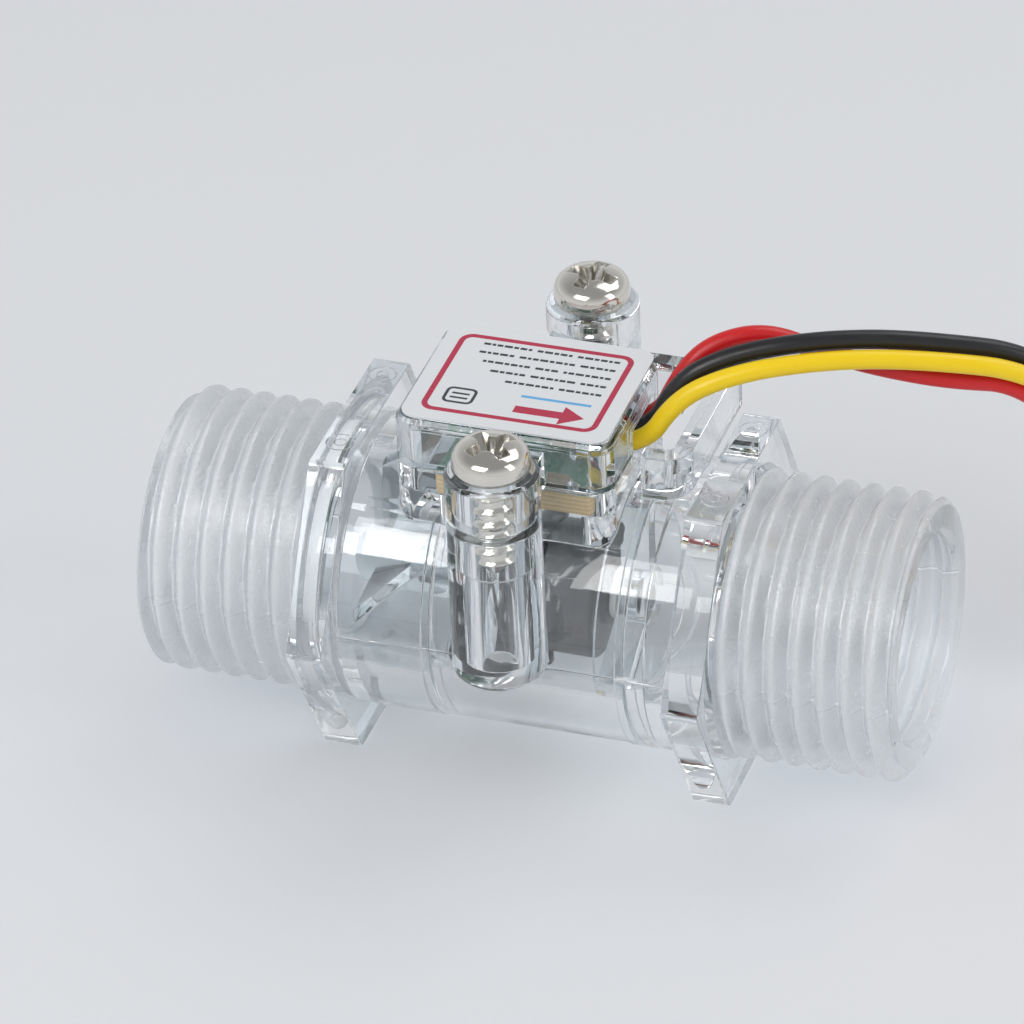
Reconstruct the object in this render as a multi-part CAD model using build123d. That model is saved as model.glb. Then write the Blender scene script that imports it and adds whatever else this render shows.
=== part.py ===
"""In-line water flow sensor with a clear moulded body, a turbine rotor and a pulse circuit.

Millimetres. X runs along the pipe from inlet to outlet, Y goes to the back and Z up.
The origin is midway between the pipe ends, under the pipe axis, at the height of the
flats that both hexagons rest on.
"""
from build123d import *
from math import pi, radians, tan
import os

# Pipe ends and hexagons
OVERALL_LENGTH = 56.5
THREAD_RADIUS = 10.4775
THREAD_LENGTH = 12.85
THREAD_CHAMFER = 0.7
MOUTH_CHAMFER = 0.4
HEX_FLATS = 24.5
HEX_THICKNESS = 2.8
HEX_CORNER = 0.6

# Barrel and bores
BARREL_RADIUS = 10.7
BAND_RECESS = 0.1
INLET_RADIUS = 8.0
CHAMBER_RADIUS = 7.6
OUTLET_RADIUS = 7.6
CHAMBER_START = -6.3
CHAMBER_END = 8.2
CHAMBER_WALL = 1.2
SHOULDER_RADIUS = 6.8
SHOULDER_THICKNESS = 1.5

# Circuit box, its cover and the label
BOX_LEFT = -9.2
BOX_RIGHT = 7.0
BOX_DEPTH = 13.3
BOX_CORNER = 1.4
BOX_WALL = 1.1
MOULD_RADIUS = 0.3
BOX_JOINT = 12.8
COVER_TOP = 16.7
COVER_ROOF = 1.2
COVER_EDGE = 0.35
LIP_WALL = 0.7
HOOD_REACH = 1.8
HOOD_WIDTH = 2.0
LABEL_INSET = 0.4
LABEL_CORNER = 1.2
LABEL_THICKNESS = 0.15

# Screw posts
POST_STANDOFF = 4.87
POST_RADIUS = 3.4
POST_CHAMFER = 0.6
EAR_RISE = 4.25
EAR_CHAMFER = 0.3
WEB_WIDTH = 4.4
WEB_RISE = 2.9
RIB_WIDTH = 2.2
SCREW_RADIUS = 1.45
SCREW_LENGTH = 8.0
SCREW_HEAD_RADIUS = 2.8
SCREW_HEAD_HEIGHT = 2.3
SCREW_RECESS_WIDTH = 0.75
SCREW_RECESS_REACH = 1.6
SCREW_RECESS_DEPTH = 1.5
SCREW_PASSAGE = 1.65
PILOT_RADIUS = 1.35
PILOT_FLOOR = 1.2

# Guard that shields the wires where they leave the box
GUARD_GAP = 1.0
GUARD_REACH = 3.35
GUARD_FRONT = -2.7
GUARD_BACK = 10.9
GUARD_TOP = 13.8
GUARD_SINK = 0.5
GUARD_WALL = 1.4
GUARD_BEND = 2.0

# Circuit board and the parts on it
BOARD_LENGTH = 11.9
BOARD_END_ROOM = 0.4
BOARD_SIDE_ROOM = 0.15
BOARD_THICKNESS = 1.6
BOARD_BOTTOM = 10.35
BOARD_CORNER = 0.5
BOARD_LEDGE = 0.3
POCKET_FLOOR = 7.8
HALL_SIZE = (4.0, 3.0, 1.35)
HALL_CHAMFER = 0.3
CAPACITOR_SIZE = (1.7, 0.9, 0.85)
CAPACITOR_INSET = 2.9
RESISTOR_SIZE = (1.6, 0.8, 0.5)
RESISTOR_INSET = 2.8
CHIP_FRONT_INSET = 1.2
CHIP_EDGE = 0.12
SOLDER_RADIUS = 0.8
SOLDER_INSET = 2.6

# Turbine rotor
SHAFT_RADIUS = 1.0
SHAFT_SOCKET = 3.0
SHAFT_END_CHAMFER = 0.15
WASHER_THICKNESS = 0.5
WASHER_RADIUS = 2.0
ROTOR_END_GAP = 0.15
ROTOR_HUB_RADIUS = 2.4
ROTOR_TIP_RADIUS = 7.1
ROTOR_BLADES = 5
ROTOR_BLADE_THICKNESS = 0.8
ROTOR_BLADE_TWIST = 62.0
ROTOR_NOSE = 0.5
MAGNET_RADIUS = 5.0
MAGNET_LENGTH = 4.2
MAGNET_FLANGE = 0.7
MAGNET_TAIL = 0.35
MAGNET_CHAMFER = 0.25

# Flow guide at the inlet and bracket at the outlet
GUIDE_LENGTH = 8.0
GUIDE_RING = 1.15
GUIDE_HUB_RADIUS = 2.4
GUIDE_NOSE = 2.2
GUIDE_VANES = 4
GUIDE_VANE_THICKNESS = 0.9
GUIDE_VANE_TWIST = -42.0
BRACKET_LENGTH = 2.2
BRACKET_RING = 0.8
BRACKET_HUB_RADIUS = 2.2
BRACKET_SPOKES = 3
BRACKET_SPOKE_WIDTH = 1.3
BRACKET_FLOOR = 0.8
CLIP_THICKNESS = 1.0
CLIP_REACH = 1.1
CLIP_DEPTH = 0.5
CLIP_GAP_ANGLE = 40.0

# Wires and the plug on their ends
WIRE_DIAMETER = 1.4
WIRE_PITCH = 1.7
WIRE_FIRST_Y = -0.25
WIRE_TURN = 0.3
NOTCH_RISE = 1.9
PLUG_PITCH = 2.5
PLUG_LENGTH = 9.0
PLUG_WIDTH = 9.8
PLUG_HEIGHT = 5.7
PLUG_CAVITY = (2.1, 2.7)
PLUG_EDGE = 0.3
PLUG_KEY_WIDTH = 1.0
PLUG_KEY_RISE = 0.5
PLUG_KEY_LENGTH = 5.0
PLUG_X = 44.0
PLUG_Y = 26.0
PLUG_LEAD = 3.6
TERMINAL_SIZE = (6.6, 1.6, 2.0)
TERMINAL_WALL = 0.25
TERMINAL_DEPTH = 1.5

# Clearances
SEAT = 0.05
RUNNING = 0.05
SOCKET = 0.02
LOOSE = 0.15

# Places that follow from the sizes above
AXIS_HEIGHT = HEX_FLATS / 2
HALF = OVERALL_LENGTH / 2
HEX_FACE = HALF - THREAD_LENGTH
BOX_CENTRE = (BOX_LEFT + BOX_RIGHT) / 2
LABEL_LENGTH = BOX_RIGHT - BOX_LEFT - 2 * LABEL_INSET
LABEL_WIDTH = BOX_DEPTH - 2 * LABEL_INSET
POST_SPREAD = BOX_DEPTH / 2 + POST_STANDOFF
GUARD_LEFT = BOX_RIGHT + GUARD_GAP
GUARD_RIGHT = GUARD_LEFT + GUARD_REACH
GUARD_FOOT = BARREL_RADIUS - GUARD_SINK
BOARD_RIGHT = BOX_RIGHT - BOX_WALL - BOARD_END_ROOM
BOARD_LEFT = BOARD_RIGHT - BOARD_LENGTH
BOARD_DEPTH = BOX_DEPTH - 2 * (BOX_WALL + BOARD_SIDE_ROOM)
CHIP_Y = CHIP_FRONT_INSET - BOARD_DEPTH / 2
BOARD_TOP = BOARD_BOTTOM + BOARD_THICKNESS
EAR_TOP = BOX_JOINT + EAR_RISE
GUIDE_START = CHAMBER_START - GUIDE_LENGTH
CLIP_INNER_RADIUS = INLET_RADIUS - CLIP_REACH
BRACKET_START = CHAMBER_END - BRACKET_LENGTH
WASHER_STARTS = (CHAMBER_START, BRACKET_START - WASHER_THICKNESS)
ROTOR_START = CHAMBER_START + WASHER_THICKNESS + ROTOR_END_GAP
ROTOR_END = BRACKET_START - WASHER_THICKNESS - ROTOR_END_GAP
MAGNET_END = ROTOR_END - MAGNET_TAIL
MAGNET_START = MAGNET_END - MAGNET_LENGTH
HALL_X = (MAGNET_START + MAGNET_END) / 2
WIRE_RADIUS = WIRE_DIAMETER / 2
WIRE_START = BOARD_RIGHT - SOLDER_INSET
WIRE_AXIS = BOARD_TOP + WIRE_RADIUS + SEAT
WIRE_YS = [WIRE_FIRST_Y + WIRE_PITCH * k for k in range(3)]
NOTCH_FRONT = WIRE_YS[0] - WIRE_RADIUS - LOOSE
NOTCH_BACK = WIRE_YS[2] + WIRE_RADIUS + LOOSE
PLUG_ENTRY = PLUG_HEIGHT / 2
FLOOR_Z = WIRE_RADIUS + SEAT
POCKET_CORNER = BOX_CORNER - BOX_WALL + MOULD_RADIUS

# On the pipe axis, local Z runs along the pipe towards the outlet.
ON_AXIS = Pos(0, 0, AXIS_HEIGHT) * Rot(0, 90, 0)


def cylinder(radius, start, end):
    """A cylinder on the local Z axis from start to end."""
    return Pos(0, 0, start) * Cylinder(radius, end - start, align=(Align.CENTER, Align.CENTER, Align.MIN))


def ring(outer, inner, start, end):
    """A tube on the local Z axis."""
    return cylinder(outer, start, end) - cylinder(inner, start - 1, end + 1)


def block(x, y, z):
    """A block from its three (low, high) pairs, with heights counted from the pipe axis."""
    size = [high - low for low, high in (x, y, z)]
    place = Pos(x[0], y[0], AXIS_HEIGHT + z[0])
    return place * Box(*size, align=(Align.MIN, Align.MIN, Align.MIN))


def rounded_block(x, y, z, corner):
    """A block whose upright edges are rounded."""
    outline = RectangleRounded(x[1] - x[0], y[1] - y[0], corner)
    place = Pos((x[0] + x[1]) / 2, (y[0] + y[1]) / 2, AXIS_HEIGHT + z[0])
    return place * extrude(outline, z[1] - z[0])


def upright(radius, y, bottom, top, x=0.0):
    """An upright cylinder, with heights counted from the pipe axis."""
    return Pos(x, y, AXIS_HEIGHT) * cylinder(radius, bottom, top)


def twisted_vane(inner, outer, thickness, start, end, twist):
    """A radial vane on the local Z axis that turns by twist degrees from start to end."""
    stations = 5
    sections = []
    for k in range(stations):
        share = k / (stations - 1)
        place = Pos(0, 0, start + share * (end - start)) * Rot(0, 0, share * twist)
        sections.append(place * Pos((inner + outer) / 2, 0) * Rectangle(outer - inner, thickness))
    return loft(sections)


def hexagon(face):
    """The hexagon whose outer side is at face, with flats above and below."""
    side = -1 if face < 0 else 1
    inner_face = face - side * HEX_THICKNESS
    outline = RegularPolygon(HEX_FLATS / 2, 6, major_radius=False, rotation=30)
    solid = Pos(0, 0, min(face, inner_face)) * extrude(outline, HEX_THICKNESS)
    return fillet(solid.edges().filter_by(Axis.Z), HEX_CORNER)


def pipe():
    """The outside of the pipe on the local Z axis: threaded ends at crest size, hexagons and barrel."""
    solid = cylinder(THREAD_RADIUS, -HALF, HALF)
    ends = solid.edges().filter_by(GeomType.CIRCLE)
    solid = chamfer(ends, THREAD_CHAMFER)
    solid += cylinder(BARREL_RADIUS, -HEX_FACE + HEX_THICKNESS / 2, HEX_FACE - HEX_THICKNESS / 2)
    solid -= ring(BARREL_RADIUS + 1, BARREL_RADIUS - BAND_RECESS, CHAMBER_START, CHAMBER_END)
    solid += hexagon(-HEX_FACE)
    solid += hexagon(HEX_FACE)
    return solid


def bores():
    """The water way on the local Z axis: inlet bore with clip groove, chamber, shoulder and outlet bore."""
    clip_end = GUIDE_START - SEAT
    clip_start = clip_end - CLIP_THICKNESS - 2 * SEAT
    shoulder_end = CHAMBER_END + SHOULDER_THICKNESS
    solid = cylinder(INLET_RADIUS, -HALF - 1, CHAMBER_START)
    solid += cylinder(INLET_RADIUS + CLIP_DEPTH, clip_start, clip_end)
    solid += cylinder(CHAMBER_RADIUS, CHAMBER_START - 1, CHAMBER_END)
    solid += cylinder(SHOULDER_RADIUS, CHAMBER_END - 1, shoulder_end + 1)
    solid += cylinder(OUTLET_RADIUS, shoulder_end, HALF + 1)
    mouths = ((-HALF, INLET_RADIUS), (HALF, OUTLET_RADIUS))
    for face, radius in mouths:
        wide, narrow = radius + MOUTH_CHAMFER, radius
        cone = Cone(wide, narrow, MOUTH_CHAMFER, align=(Align.CENTER, Align.CENTER, Align.MIN))
        turn = Rot(0, 0, 0) if face < 0 else Rot(180, 0, 0)
        solid += Pos(0, 0, face) * turn * cone
    return solid


def box_base():
    """The lower half of the circuit box, which stands on the barrel."""
    y = (-BOX_DEPTH / 2, BOX_DEPTH / 2)
    return rounded_block((BOX_LEFT, BOX_RIGHT), y, (0, BOX_JOINT), BOX_CORNER)


def box_pocket():
    """The hollow of the circuit box, with a ledge at each end for the board."""
    deep = BOX_DEPTH / 2 - BOX_WALL
    y = (-deep, deep)
    lower_x = (BOARD_LEFT + BOARD_LEDGE, BOARD_RIGHT - BOARD_LEDGE)
    lower = rounded_block(lower_x, y, (POCKET_FLOOR, BOX_JOINT), POCKET_CORNER)
    upper_x = (BOX_LEFT + BOX_WALL, BOX_RIGHT - BOX_WALL)
    upper = rounded_block(upper_x, y, (BOARD_BOTTOM, BOX_JOINT + 1), POCKET_CORNER)
    kept = ON_AXIS * cylinder(CHAMBER_RADIUS + CHAMBER_WALL, BOX_LEFT, BOX_RIGHT)
    return lower - kept + upper


def wire_notch():
    """The opening for the wires through the right-hand walls of the box and its cover."""
    inside = BOX_RIGHT - BOX_WALL - LIP_WALL - SEAT - LOOSE
    z = (BOARD_TOP - SEAT, BOX_JOINT + NOTCH_RISE)
    return block((inside, BOX_RIGHT + 1), (NOTCH_FRONT, NOTCH_BACK), z)


def post(side):
    """A screw post on one side of the box, with the rib that ties it to the box."""
    y = side * POST_SPREAD
    solid = upright(POST_RADIUS, y, 0, BOX_JOINT)
    rim = solid.edges().filter_by(GeomType.CIRCLE).sort_by(Axis.Z)[0]
    solid = chamfer(rim, POST_CHAMFER)
    inner, outer = sorted((side * (BOX_DEPTH / 2 - BOX_WALL / 2), y))
    return solid + block((-RIB_WIDTH / 2, RIB_WIDTH / 2), (inner, outer), (0, BOX_JOINT))


def post_bore(side):
    """The screw's hole in a post: thread size as deep as the screw goes, then the pilot bore."""
    y = side * POST_SPREAD
    tip = EAR_TOP - SCREW_LENGTH
    tapped = upright(SCREW_RADIUS + SOCKET, y, tip - SEAT, BOX_JOINT + 1)
    return tapped + upright(PILOT_RADIUS, y, PILOT_FLOOR, tip)


def wire_guard():
    """The wall that shields the wires: it stands on the barrel, bends and reaches freely to the back."""
    def outline(shift):
        left, front = GUARD_LEFT, GUARD_FRONT + shift
        right, bend = GUARD_RIGHT - shift, GUARD_BEND - shift
        start, turn_in = (left, front), (right - bend, front)
        turn_out, end = (right, front + bend), (right, GUARD_BACK)
        arc = RadiusArc(turn_in, turn_out, -bend)
        return Line(start, turn_in) + arc + Line(turn_out, end)

    outer, inner = outline(0), outline(GUARD_WALL)
    first = Line(outer @ 0, inner @ 0)
    last = Line(outer @ 1, inner @ 1)
    plan = make_face(outer + last + inner + first)
    return Pos(0, 0, AXIS_HEIGHT + GUARD_FOOT) * extrude(plan, GUARD_TOP - GUARD_FOOT)


def valve_body():
    """The clear moulding: pipe, hexagons, box walls, screw posts and wire guard in one piece."""
    solid = ON_AXIS * pipe()
    solid += box_base()
    solid += wire_guard()
    for side in (-1, 1):
        solid += post(side)
    solid -= ON_AXIS * bores()
    solid -= box_pocket()
    solid -= wire_notch()
    for side in (-1, 1):
        solid -= post_bore(side)
    return solid


def cover_ear(side):
    """The round ear that sits on a screw post, with the web that joins it to the cover."""
    y = side * POST_SPREAD
    solid = upright(POST_RADIUS, y, BOX_JOINT, EAR_TOP)
    rim = solid.edges().filter_by(GeomType.CIRCLE).sort_by(Axis.Z)[-1]
    solid = chamfer(rim, EAR_CHAMFER)
    inner, outer = sorted((side * (BOX_DEPTH / 2 - BOX_WALL / 2), y))
    top = BOX_JOINT + WEB_RISE
    return solid + block((-WEB_WIDTH / 2, WEB_WIDTH / 2), (inner, outer), (BOX_JOINT, top))


def cover_shell():
    """The hollow top of the box, with the hood that stands behind the wires."""
    y = (-BOX_DEPTH / 2, BOX_DEPTH / 2)
    shell = rounded_block((BOX_LEFT, BOX_RIGHT), y, (BOX_JOINT, COVER_TOP), BOX_CORNER)
    hood_y = (BOX_DEPTH / 2 - HOOD_WIDTH, BOX_DEPTH / 2)
    hood_x = (BOX_RIGHT - BOX_CORNER, BOX_RIGHT + HOOD_REACH)
    shell += block(hood_x, hood_y, (BOX_JOINT, COVER_TOP))
    shell = chamfer(shell.faces().sort_by(Axis.Z)[-1].edges(), COVER_EDGE)
    deep = BOX_DEPTH / 2 - BOX_WALL
    inside_x = (BOX_LEFT + BOX_WALL, BOX_RIGHT - BOX_WALL)
    inside_z = (BOX_JOINT - 1, COVER_TOP - COVER_ROOF)
    return shell - rounded_block(inside_x, (-deep, deep), inside_z, POCKET_CORNER)


def cover_lip():
    """The rim under the cover that drops into the box and holds the board down."""
    reach = BOX_DEPTH / 2 - BOX_WALL - SEAT
    x = (BOX_LEFT + BOX_WALL + SEAT, BOX_RIGHT - BOX_WALL - SEAT)
    z = (BOARD_TOP + SEAT, COVER_TOP - COVER_ROOF)
    outer = rounded_block(x, (-reach, reach), z, POCKET_CORNER - SEAT)
    inner_x = (x[0] + LIP_WALL, x[1] - LIP_WALL)
    inner_y = (LIP_WALL - reach, reach - LIP_WALL)
    return outer - block(inner_x, inner_y, (z[0] - 1, z[1] - SEAT))


def sensor_cover():
    """The clear cover of the circuit box."""
    solid = cover_shell() + cover_lip()
    for side in (-1, 1):
        solid += cover_ear(side)
        solid -= upright(SCREW_PASSAGE, side * POST_SPREAD, BOX_JOINT - 1, EAR_TOP + 1)
    return solid - wire_notch()


def label_plate():
    """The sticker on the cover."""
    x = (BOX_CENTRE - LABEL_LENGTH / 2, BOX_CENTRE + LABEL_LENGTH / 2)
    y = (-LABEL_WIDTH / 2, LABEL_WIDTH / 2)
    return rounded_block(x, y, (COVER_TOP, COVER_TOP + LABEL_THICKNESS), LABEL_CORNER)


def cover_screw(side):
    """A pan head screw with a cross recess, seated on an ear."""
    y = side * POST_SPREAD
    shank = upright(SCREW_RADIUS, y, EAR_TOP - SCREW_LENGTH, EAR_TOP)
    tip = shank.edges().filter_by(GeomType.CIRCLE).sort_by(Axis.Z)[0]
    shank = chamfer(tip, SCREW_RADIUS / 3)
    head = upright(SCREW_HEAD_RADIUS, y, EAR_TOP, EAR_TOP + SCREW_HEAD_HEIGHT)
    rim = head.edges().filter_by(GeomType.CIRCLE).sort_by(Axis.Z)[-1]
    head = fillet(rim, SCREW_HEAD_HEIGHT * 0.7)
    top = EAR_TOP + SCREW_HEAD_HEIGHT
    half, reach = SCREW_RECESS_WIDTH / 2, SCREW_RECESS_REACH
    z = (top - SCREW_RECESS_DEPTH, top + 1)
    cross = block((-reach, reach), (y - half, y + half), z)
    cross += block((-half, half), (y - reach, y + reach), z)
    return shank + head - cross


def circuit_board():
    """The board, which lies on the ledges of the box."""
    y = (-BOARD_DEPTH / 2, BOARD_DEPTH / 2)
    return rounded_block((BOARD_LEFT, BOARD_RIGHT), y, (BOARD_BOTTOM, BOARD_TOP), BOARD_CORNER)


def hall_sensor():
    """The magnetic switch under the board, over the rotor's magnet."""
    length, width, height = HALL_SIZE
    x = (HALL_X - length / 2, HALL_X + length / 2)
    solid = block(x, (-width / 2, width / 2), (BOARD_BOTTOM - height, BOARD_BOTTOM))
    return chamfer(solid.faces().sort_by(Axis.Z)[0].edges(), HALL_CHAMFER)


def chip(size, place):
    """A small chip part that lies on the board near its front edge."""
    length, width, height = size
    x = (place - length / 2, place + length / 2)
    y = (CHIP_Y - width / 2, CHIP_Y + width / 2)
    solid = block(x, y, (BOARD_TOP, BOARD_TOP + height))
    return fillet(solid.edges(), CHIP_EDGE)


def solder_joint(y):
    """The bead of solder at the end of one wire."""
    bead = Pos(WIRE_START, y, AXIS_HEIGHT + BOARD_TOP) * Sphere(SOLDER_RADIUS)
    x = (WIRE_START - SOLDER_RADIUS, WIRE_START)
    z = (BOARD_TOP, BOARD_TOP + SOLDER_RADIUS)
    return bead & block(x, (y - SOLDER_RADIUS, y + SOLDER_RADIUS), z)


def rotor():
    """The impeller: hub, helical blades and the flange and sleeve that carry the magnet."""
    flange_start = MAGNET_START - MAGNET_FLANGE
    solid = cylinder(ROTOR_HUB_RADIUS, ROTOR_START, ROTOR_END)
    nose = solid.edges().filter_by(GeomType.CIRCLE).sort_by(Axis.Z)[0]
    solid = fillet(nose, ROTOR_NOSE)
    solid += cylinder(MAGNET_RADIUS, flange_start, MAGNET_START)
    inner = ROTOR_HUB_RADIUS - ROTOR_BLADE_THICKNESS
    start, end = ROTOR_START + ROTOR_NOSE, flange_start + MAGNET_FLANGE / 2
    reach = ROTOR_TIP_RADIUS + 1
    blade = twisted_vane(inner, reach, ROTOR_BLADE_THICKNESS, start, end, ROTOR_BLADE_TWIST)
    blade &= cylinder(ROTOR_TIP_RADIUS, start, end)
    for k in range(ROTOR_BLADES):
        solid += Rot(0, 0, 360 * k / ROTOR_BLADES) * blade
    return ON_AXIS * (solid - cylinder(SHAFT_RADIUS + RUNNING, ROTOR_START - 1, ROTOR_END + 1))


def rotor_magnet():
    """The ring magnet pushed on the rotor's sleeve."""
    solid = cylinder(MAGNET_RADIUS, MAGNET_START, MAGNET_END)
    rims = solid.edges().filter_by(GeomType.CIRCLE)
    solid = chamfer(rims, MAGNET_CHAMFER)
    return ON_AXIS * (solid - cylinder(ROTOR_HUB_RADIUS + SOCKET, MAGNET_START - 1, MAGNET_END + 1))


def rotor_shaft():
    """The fixed steel shaft between the flow guide and the outlet bracket."""
    end = CHAMBER_END - BRACKET_FLOOR
    solid = cylinder(SHAFT_RADIUS, CHAMBER_START - SHAFT_SOCKET, end)
    rims = solid.edges().filter_by(GeomType.CIRCLE)
    return ON_AXIS * chamfer(rims, SHAFT_END_CHAMFER)


def thrust_washer(start):
    """A thin washer that takes the rotor's end thrust."""
    return ON_AXIS * ring(WASHER_RADIUS, SHAFT_RADIUS + SOCKET, start, start + WASHER_THICKNESS)


def flow_guide():
    """The fixed swirl vanes before the rotor, which also hold the shaft's inlet end."""
    outer = INLET_RADIUS - SEAT
    solid = ring(outer, outer - GUIDE_RING, GUIDE_START, CHAMBER_START)
    hub = cylinder(GUIDE_HUB_RADIUS, GUIDE_START, CHAMBER_START)
    nose = hub.edges().filter_by(GeomType.CIRCLE).sort_by(Axis.Z)[0]
    hub = fillet(nose, GUIDE_NOSE)
    start, end = GUIDE_START + GUIDE_NOSE, CHAMBER_START
    inner = GUIDE_HUB_RADIUS - GUIDE_VANE_THICKNESS
    vane = twisted_vane(inner, outer, GUIDE_VANE_THICKNESS, start, end, GUIDE_VANE_TWIST)
    vane &= cylinder(outer - GUIDE_RING / 2, start, end)
    solid += hub
    for k in range(GUIDE_VANES):
        solid += Rot(0, 0, 360 * k / GUIDE_VANES) * vane
    socket = cylinder(SHAFT_RADIUS + SOCKET, CHAMBER_START - SHAFT_SOCKET, CHAMBER_START + 1)
    return ON_AXIS * (solid - socket)


def outlet_bracket():
    """The spoked bracket that holds the shaft's outlet end against the shoulder."""
    outer = CHAMBER_RADIUS - SEAT
    solid = ring(outer, outer - BRACKET_RING, BRACKET_START, CHAMBER_END)
    solid += cylinder(BRACKET_HUB_RADIUS, BRACKET_START, CHAMBER_END)
    reach = outer - BRACKET_RING / 2
    middle = (BRACKET_START + CHAMBER_END) / 2
    spoke = Pos(reach / 2, 0, middle) * Box(reach, BRACKET_SPOKE_WIDTH, BRACKET_LENGTH)
    for k in range(BRACKET_SPOKES):
        solid += Rot(0, 0, 360 * (k + 0.5) / BRACKET_SPOKES) * spoke
    socket = cylinder(SHAFT_RADIUS + SOCKET, BRACKET_START - 1, CHAMBER_END - BRACKET_FLOOR)
    return ON_AXIS * (solid - socket)


def retaining_clip():
    """The open ring in the groove before the flow guide, with its gap below."""
    end = GUIDE_START - 2 * SEAT
    start = end - CLIP_THICKNESS
    solid = ring(INLET_RADIUS + CLIP_DEPTH - SEAT, CLIP_INNER_RADIUS, start, end)
    reach = 2 * INLET_RADIUS
    half = reach * tan(radians(CLIP_GAP_ANGLE / 2))
    gap = make_face(Polyline((0, 0), (reach, -half), (reach, half), close=True))
    return ON_AXIS * (solid - Pos(0, 0, start - 1) * extrude(gap, CLIP_THICKNESS + 2))


def plug_shape():
    """The plug on the wires' ends, with its three through cavities and two keys on top."""
    x = (PLUG_X - PLUG_LENGTH, PLUG_X)
    y = (PLUG_Y - PLUG_WIDTH / 2, PLUG_Y + PLUG_WIDTH / 2)
    top = PLUG_HEIGHT - AXIS_HEIGHT
    solid = block(x, y, (-AXIS_HEIGHT, top))
    solid = chamfer(solid.edges().filter_by(Axis.X), PLUG_EDGE)
    for side in (-1, 1):
        middle = PLUG_Y + side * PLUG_PITCH
        y = (middle - PLUG_KEY_WIDTH / 2, middle + PLUG_KEY_WIDTH / 2)
        z = (top - PLUG_KEY_RISE, top + PLUG_KEY_RISE)
        solid += block((PLUG_X - PLUG_KEY_LENGTH, PLUG_X), y, z)
    return solid


def connector_housing():
    """The moulded housing of the plug."""
    solid = plug_shape()
    width, height = PLUG_CAVITY
    low = PLUG_ENTRY - height / 2 - AXIS_HEIGHT
    for k in (-1, 0, 1):
        middle = PLUG_Y + k * PLUG_PITCH
        y = (middle - width / 2, middle + width / 2)
        solid -= block((PLUG_X - PLUG_LENGTH - 1, PLUG_X + 1), y, (low, low + height))
    return solid


def crimp_terminal(k):
    """A box-shaped crimp terminal that lies in one cavity and ends on its wire."""
    length, width, height = TERMINAL_SIZE
    low = PLUG_ENTRY - PLUG_CAVITY[1] / 2 - AXIS_HEIGHT + SEAT
    middle = PLUG_Y + k * PLUG_PITCH
    end = PLUG_X - TERMINAL_DEPTH
    solid = block((end - length, end), (middle - width / 2, middle + width / 2), (low, low + height))
    hollow_y = (middle - width / 2 + TERMINAL_WALL, middle + width / 2 - TERMINAL_WALL)
    hollow_z = (low + TERMINAL_WALL, low + height - TERMINAL_WALL)
    return solid - block((end - length - 1, end - TERMINAL_WALL * 3), hollow_y, hollow_z)


# Each wire's route after it leaves the box, chosen by hand: over the guard, down to the
# surface beyond the outlet, round a half turn to the back and up to the plug, clear of the
# straight way into the outlet. Heights count from the pipe axis in the air and from the
# surface on the floor.
YELLOW_AIR = [
    (9.8, 0.6, 17), (13.6, 2.1, 18.7), (18.2, 4.1, 19.2), (22.8, 6.2, 19), (27.6, 8.1, 18.3),
    (32.4, 9.9, 17.3), (37.6, 12, 13.4), (41.4, 13.4, 7.6), (44.9, 14.4, 1.4), (48.3, 14.9, -4.6),
]
BLACK_AIR = [
    (9.4, 2.2, 17.4), (12.6, 3.6, 19.1), (17.2, 5.2, 20), (22.2, 7.5, 19.8), (27.2, 9.6, 18.9),
    (32.2, 11.6, 17.7), (37.1, 13.8, 13.2), (41.1, 15.4, 7.4), (44.6, 16.3, 1.2), (48.1, 16.9, -4.8),
]
RED_AIR = [
    (9.1, 3.9, 17), (11.1, 5.2, 19), (14.5, 6.9, 19.5), (18.4, 8, 17.7), (22.9, 8.1, 17),
    (27.5, 9.2, 16.1), (32.2, 10.7, 15.7), (36.9, 11, 11.2), (41, 12.4, 5.6), (44.7, 13.1, -1),
]
YELLOW_FLOOR = [
    (52.4, 14.7), (56.6, 14), (61.2, 14), (64.8, 17.5), (64.8, 22.3), (61.2, 25.9), (55.6, 25.8),
]
BLACK_FLOOR = [
    (52.4, 16.7), (56.4, 15.8), (60.1, 15.8), (62.6, 18.2), (62.6, 21.3), (60.2, 23.5), (55.8, 23.3),
]
RED_FLOOR = [
    (49.6, 12.8), (55.4, 12.1), (62.1, 12.1), (67, 16.9), (67, 23.6), (62.2, 28.4), (55.8, 28.3),
]
FIRST_FLOOR_RISE = 2.4
WIRES = {
    "wire_yellow": (0, YELLOW_AIR, YELLOW_FLOOR, 0),
    "wire_black": (1, BLACK_AIR, BLACK_FLOOR, -1),
    "wire_red": (2, RED_AIR, RED_FLOOR, 1),
}


def wire_route(name):
    """The corner points of one wire, from its solder joint to its crimp terminal."""
    place, air, floor, cavity = WIRES[name]
    y = WIRE_YS[place]
    turn = BOX_RIGHT + WIRE_TURN
    start = [(WIRE_START, y, AXIS_HEIGHT + WIRE_AXIS), (turn, y, AXIS_HEIGHT + WIRE_AXIS)]
    over = [(px, py, AXIS_HEIGHT + pz) for px, py, pz in air]
    landing = [(floor[0][0], floor[0][1], FLOOR_Z + FIRST_FLOOR_RISE)]
    laid = [(px, py, FLOOR_Z) for px, py in floor[1:]]
    end_y = PLUG_Y + cavity * PLUG_PITCH
    last = [(PLUG_X + PLUG_LEAD, end_y, PLUG_ENTRY), (PLUG_X - TERMINAL_DEPTH, end_y, PLUG_ENTRY)]
    return start + over + landing + laid + last


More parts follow.
